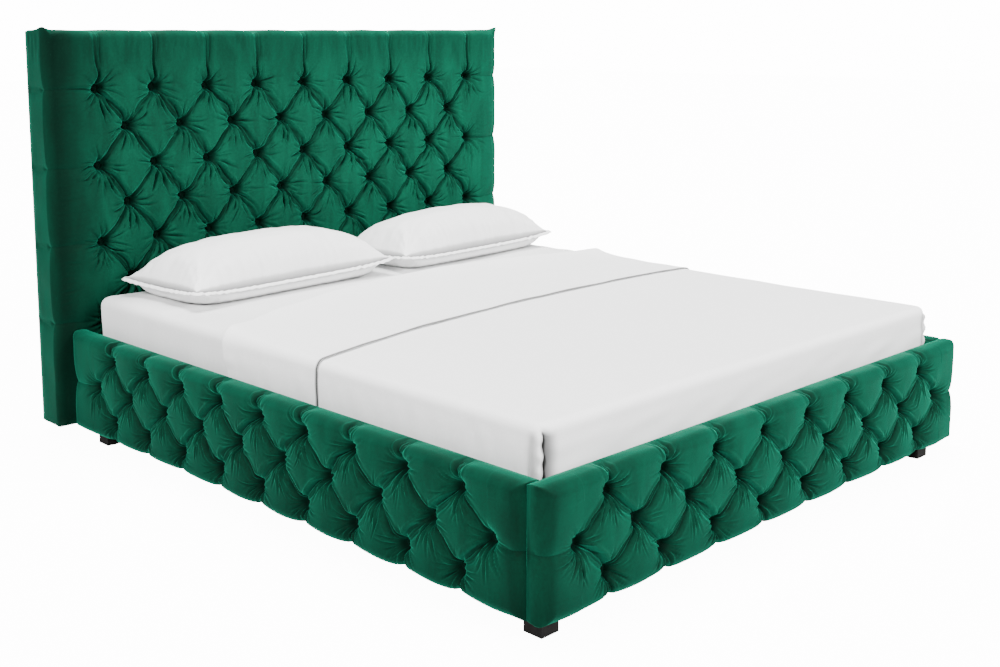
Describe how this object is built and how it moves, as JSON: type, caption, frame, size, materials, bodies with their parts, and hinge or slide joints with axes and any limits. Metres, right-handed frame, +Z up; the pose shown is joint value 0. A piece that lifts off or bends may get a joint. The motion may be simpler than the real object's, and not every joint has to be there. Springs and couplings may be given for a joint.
{
  "type": "upholstered headboard bed",
  "caption": "Platform bed with a tall deep-buttoned velvet headboard, buttoned foot panel and side rails, slatted base, block legs, made-up mattress and two pillows.",
  "frame": {"origin": "on the floor, under the middle of the bed's overall box", "axes": "+Z up, +Y from the foot panel to the headboard, +X to the right of someone standing at the foot and facing the headboard"},
  "size_m": [2.037, 2.27, 1.331],
  "materials": {
    "velvet": "short-pile velvet, deep green",
    "timber": "sawn softwood, unfinished",
    "plywood": "birch plywood, lightly sanded",
    "foam": "open-cell upholstery foam",
    "back_cloth": "black non-woven lining",
    "steel": "zinc plated",
    "black_plastic": "moulded, matt",
    "black_wood": "black stain, satin",
    "mattress_ticking": "woven ticking",
    "white_cotton": "plain white percale",
    "pillow_filling": "cotton case over fibre filling"
  },
  "bodies": {
    "bed_frame": {"headboard_stiles": "timber", "headboard_rails": "timber", "headboard_board": "plywood", "headboard_foam": "foam", "headboard_cover": "velvet", "headboard_buttons": "velvet", "headboard_button_ties": "steel", "headboard_back_panel": "plywood", "headboard_back_cloth": "back_cloth", "foot_board": "plywood", "foot_base_plate": "timber", "foot_foam": "foam", "foot_cover": "velvet", "foot_buttons": "velvet", "foot_button_ties": "steel", "left_rail_board": "plywood", "left_rail_base_plate": "timber", "left_rail_foam": "foam", "left_rail_cover": "velvet", "left_rail_buttons": "velvet", "left_rail_button_ties": "steel", "right_rail_board": "plywood", "right_rail_base_plate": "timber", "right_rail_foam": "foam", "right_rail_cover": "velvet", "right_rail_buttons": "velvet", "right_rail_button_ties": "steel", "left_slat_ledger": "timber", "right_slat_ledger": "timber", "ledger_screws": "steel", "foot_brackets": "steel", "headboard_brackets": "steel", "bracket_bolts": "steel", "tee_nuts": "steel", "headboard_bolts": "steel", "centre_rail": "timber", "centre_rail_hangers": "steel", "hanger_screws": "steel", "left_slats": "plywood", "right_slats": "plywood", "slat_end_caps": "black_plastic", "slat_centre_caps": "black_plastic", "centre_legs": "black_wood", "front_left_leg": "black_wood", "front_right_leg": "black_wood", "rear_left_leg": "black_wood", "rear_right_leg": "black_wood", "leg_bolts": "steel", "leg_glides": "black_plastic"},
    "made_up_mattress": {"mattress": "mattress_ticking", "fitted_sheet": "white_cotton", "flat_sheet": "white_cotton"},
    "left_pillow": {"left_pillow": "pillow_filling", "left_pillowcase": "white_cotton"},
    "right_pillow": {"right_pillow": "pillow_filling", "right_pillowcase": "white_cotton"}
  },
  "joints": [
    {"name": "mattress_lift", "type": "slide", "parent": "bed_frame", "child": "made_up_mattress", "axis": [0, 0, 1], "range_m": [0, 0.5]},
    {"name": "left_pillow_lift", "type": "slide", "parent": "made_up_mattress", "child": "left_pillow", "axis": [0, 0, 1], "range_m": [0, 0.4]},
    {"name": "right_pillow_lift", "type": "slide", "parent": "made_up_mattress", "child": "right_pillow", "axis": [0, 0, 1], "range_m": [0, 0.4]}
  ]
}
